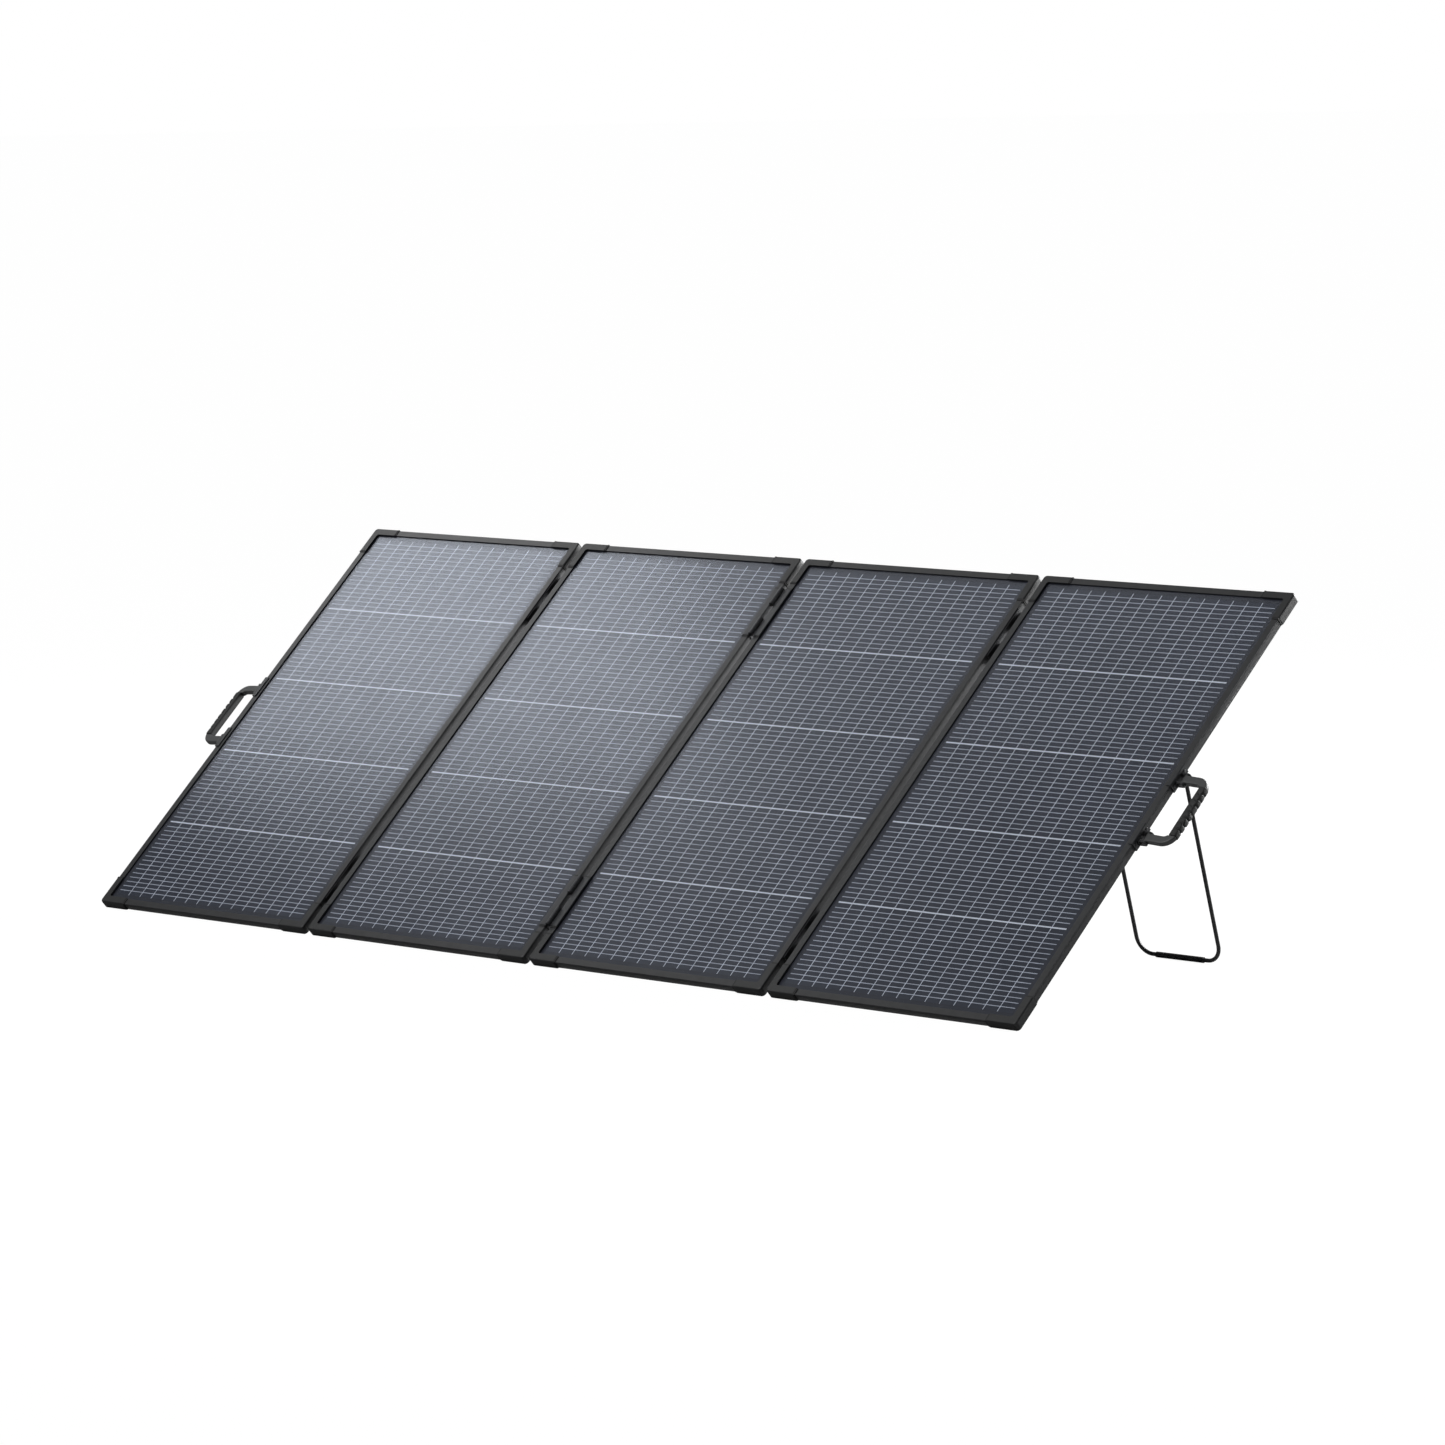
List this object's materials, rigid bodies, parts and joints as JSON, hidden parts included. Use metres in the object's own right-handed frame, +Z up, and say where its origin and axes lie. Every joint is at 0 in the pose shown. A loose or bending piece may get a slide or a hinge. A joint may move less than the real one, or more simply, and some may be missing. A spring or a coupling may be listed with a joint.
{
  "type": "folding solar panel",
  "caption": "Portable folding solar array: hinged framed panels in a row, leaning on its lower edge and wire kickstands, with a carrying handle at each end.",
  "frame": {"origin": "middle of the bottom of the whole object's box, on the ground that it stands on", "axes": "+X along the row of panels, to the right as seen from the front; +Y from the front towards the kickstands; +Z up. The faces look towards -Y and up."},
  "size_m": [2.3632, 0.7276, 0.6388],
  "materials": {
    "frame_rail": "dark grey anodised extrusion, satin",
    "corner_cap": "dark grey moulded plastic, fine texture",
    "front_sheet": "clear fluoropolymer front film, slightly matt",
    "solar_cell": "dark blue-grey monocrystalline silicon with light printed lines",
    "back_board": "dark navy composite board",
    "screw_steel": "zinc-plated steel",
    "hinge_metal": "dark grey coated steel, satin",
    "pin_steel": "blackened steel",
    "bracket": "dark grey coated metal, satin",
    "handle_arm": "dark grey moulded plastic, satin",
    "grip": "soft dark grey rubber with ridges",
    "leg_rod": "black powder-coated steel rod",
    "foot_rubber": "black rubber sleeve",
    "pivot_block": "black moulded nylon",
    "cross_rail": "dark grey anodised flat bar",
    "junction_box": "black moulded plastic",
    "junction_lid": "black moulded plastic",
    "cable_gland": "black nylon"
  },
  "bodies": {
    "panel_1": {"side_rails_1": "frame_rail", "end_rails_1": "frame_rail", "corner_caps_1": "corner_cap", "front_sheet_1": "front_sheet", "cell_rows_1": "solar_cell", "back_board_1": "back_board", "cap_screws_1": "screw_steel", "handle_brackets_1": "bracket", "bracket_screws_1": "screw_steel", "handle_pins_1": "pin_steel", "leg_pivots_1": "pivot_block", "cross_rail_1": "cross_rail", "hinge_leaves_12_left": "hinge_metal", "hinge_pins_12": "pin_steel"},
    "panel_2": {"side_rails_2": "frame_rail", "end_rails_2": "frame_rail", "corner_caps_2": "corner_cap", "front_sheet_2": "front_sheet", "cell_rows_2": "solar_cell", "back_board_2": "back_board", "cap_screws_2": "screw_steel", "junction_box": "junction_box", "junction_lid": "junction_lid", "cable_gland": "cable_gland", "hinge_leaves_12_right": "hinge_metal", "hinge_leaves_23_left": "hinge_metal", "hinge_pins_23": "pin_steel"},
    "panel_3": {"side_rails_3": "frame_rail", "end_rails_3": "frame_rail", "corner_caps_3": "corner_cap", "front_sheet_3": "front_sheet", "cell_rows_3": "solar_cell", "back_board_3": "back_board", "cap_screws_3": "screw_steel", "hinge_leaves_23_right": "hinge_metal", "hinge_leaves_34_left": "hinge_metal", "hinge_pins_34": "pin_steel"},
    "panel_4": {"side_rails_4": "frame_rail", "end_rails_4": "frame_rail", "corner_caps_4": "corner_cap", "front_sheet_4": "front_sheet", "cell_rows_4": "solar_cell", "back_board_4": "back_board", "cap_screws_4": "screw_steel", "handle_brackets_4": "bracket", "bracket_screws_4": "screw_steel", "handle_pins_4": "pin_steel", "leg_pivots_4": "pivot_block", "cross_rail_4": "cross_rail", "hinge_leaves_34_right": "hinge_metal"},
    "leg_1": {"leg_rod_1": "leg_rod", "leg_foot_1": "foot_rubber"},
    "handle_1": {"handle_arm_1": "handle_arm", "handle_grip_1": "grip"},
    "leg_4": {"leg_rod_4": "leg_rod", "leg_foot_4": "foot_rubber"},
    "handle_4": {"handle_arm_4": "handle_arm", "handle_grip_4": "grip"}
  },
  "joints": [
    {"name": "fold_23", "type": "hinge", "parent": "panel_2", "child": "panel_3", "pos_m": [0, -0.01479, 0.32707], "axis": [0, -0.7455, -0.6665], "range_deg": [0, 180]},
    {"name": "fold_12", "type": "hinge", "parent": "panel_2", "child": "panel_1", "pos_m": [-0.5613, -0.00166, 0.31239], "axis": [0, -0.7455, -0.6665], "range_deg": [0, 180]},
    {"name": "fold_34", "type": "hinge", "parent": "panel_3", "child": "panel_4", "pos_m": [0.5613, -0.00166, 0.31239], "axis": [0, 0.7455, 0.6665], "range_deg": [0, 180]},
    {"name": "leg_swing_1", "type": "hinge", "parent": "panel_1", "child": "leg_1", "pos_m": [-0.84195, 0.21781, 0.51701], "axis": [-1, 0, 0], "range_deg": [0, 63.61]},
    {"name": "leg_swing_4", "type": "hinge", "parent": "panel_4", "child": "leg_4", "pos_m": [0.84195, 0.21781, 0.51701], "axis": [-1, 0, 0], "range_deg": [0, 63.61]},
    {"name": "handle_swing_1", "type": "hinge", "parent": "panel_1", "child": "handle_1", "pos_m": [-1.12835, -0.00596, 0.3172], "axis": [0, -0.7455, -0.6665], "range_deg": [-85, 16.06]},
    {"name": "handle_swing_4", "type": "hinge", "parent": "panel_4", "child": "handle_4", "pos_m": [1.12835, -0.00596, 0.3172], "axis": [0, 0.7455, 0.6665], "range_deg": [-85, 16.06]}
  ],
  "couplings": [
    {"joint": "leg_swing_1", "follows": "fold_12", "ratio": 0.35333},
    {"joint": "leg_swing_4", "follows": "fold_34", "ratio": 0.35333}
  ]
}
